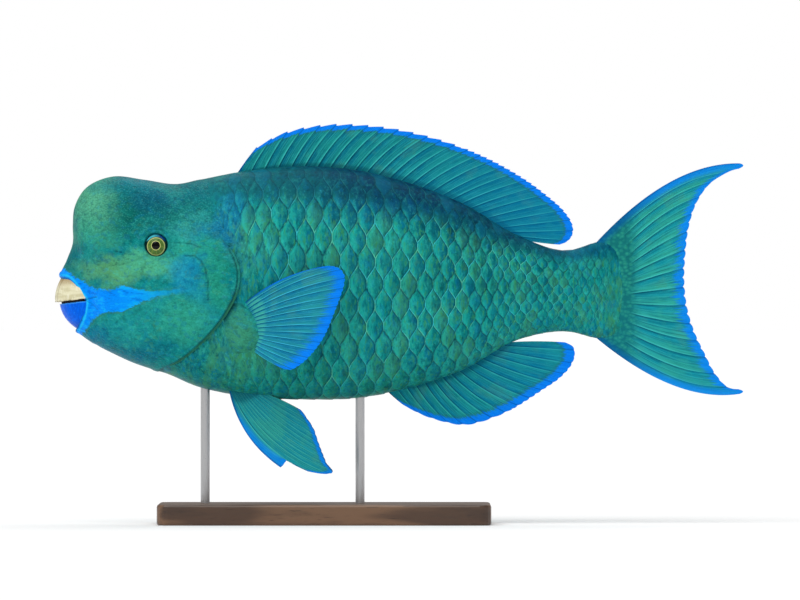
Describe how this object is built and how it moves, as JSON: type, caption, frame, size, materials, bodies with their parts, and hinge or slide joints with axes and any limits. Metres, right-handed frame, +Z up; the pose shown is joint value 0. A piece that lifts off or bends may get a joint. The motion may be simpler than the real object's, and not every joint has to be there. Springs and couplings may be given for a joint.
{
  "type": "parrotfish",
  "caption": "Life-size steephead parrotfish with a blunt forehead, beak and spread fins, swimming level on two rods over a flat display base.",
  "frame": {"origin": "on the floor, at the middle of the bounding box", "axes": "+X from snout to tail, +Y to the fish's right side, +Z up"},
  "size_m": [0.6, 0.158, 0.3489],
  "materials": {
    "skin": "moist, satin scales in teal and olive",
    "fin": "thin satin membrane, teal with blue margins",
    "beak": "ivory enamel, slightly worn",
    "lower_beak": "deep blue enamel",
    "eye": "clear wet gloss over an olive iris",
    "stand_wood": "dark wood, satin lacquer",
    "stand_metal": "brushed"
  },
  "bodies": {
    "root": {"head": "skin", "gill_cover_left": "skin", "gill_cover_right": "skin", "upper_beak": "beak", "lower_beak": "lower_beak", "eye_left": "eye", "eye_right": "eye", "trunk": "skin", "tail_stem": "skin", "dorsal_fin": "fin", "anal_fin": "fin", "caudal_fin_upper": "fin", "caudal_fin_lower": "fin", "pectoral_fin_left": "fin", "pectoral_fin_right": "fin", "pelvic_fin_left": "fin", "pelvic_fin_right": "fin", "stand_base": "stand_wood", "stand_rod_front": "stand_metal", "stand_rod_rear": "stand_metal"}
  },
  "joints": []
}
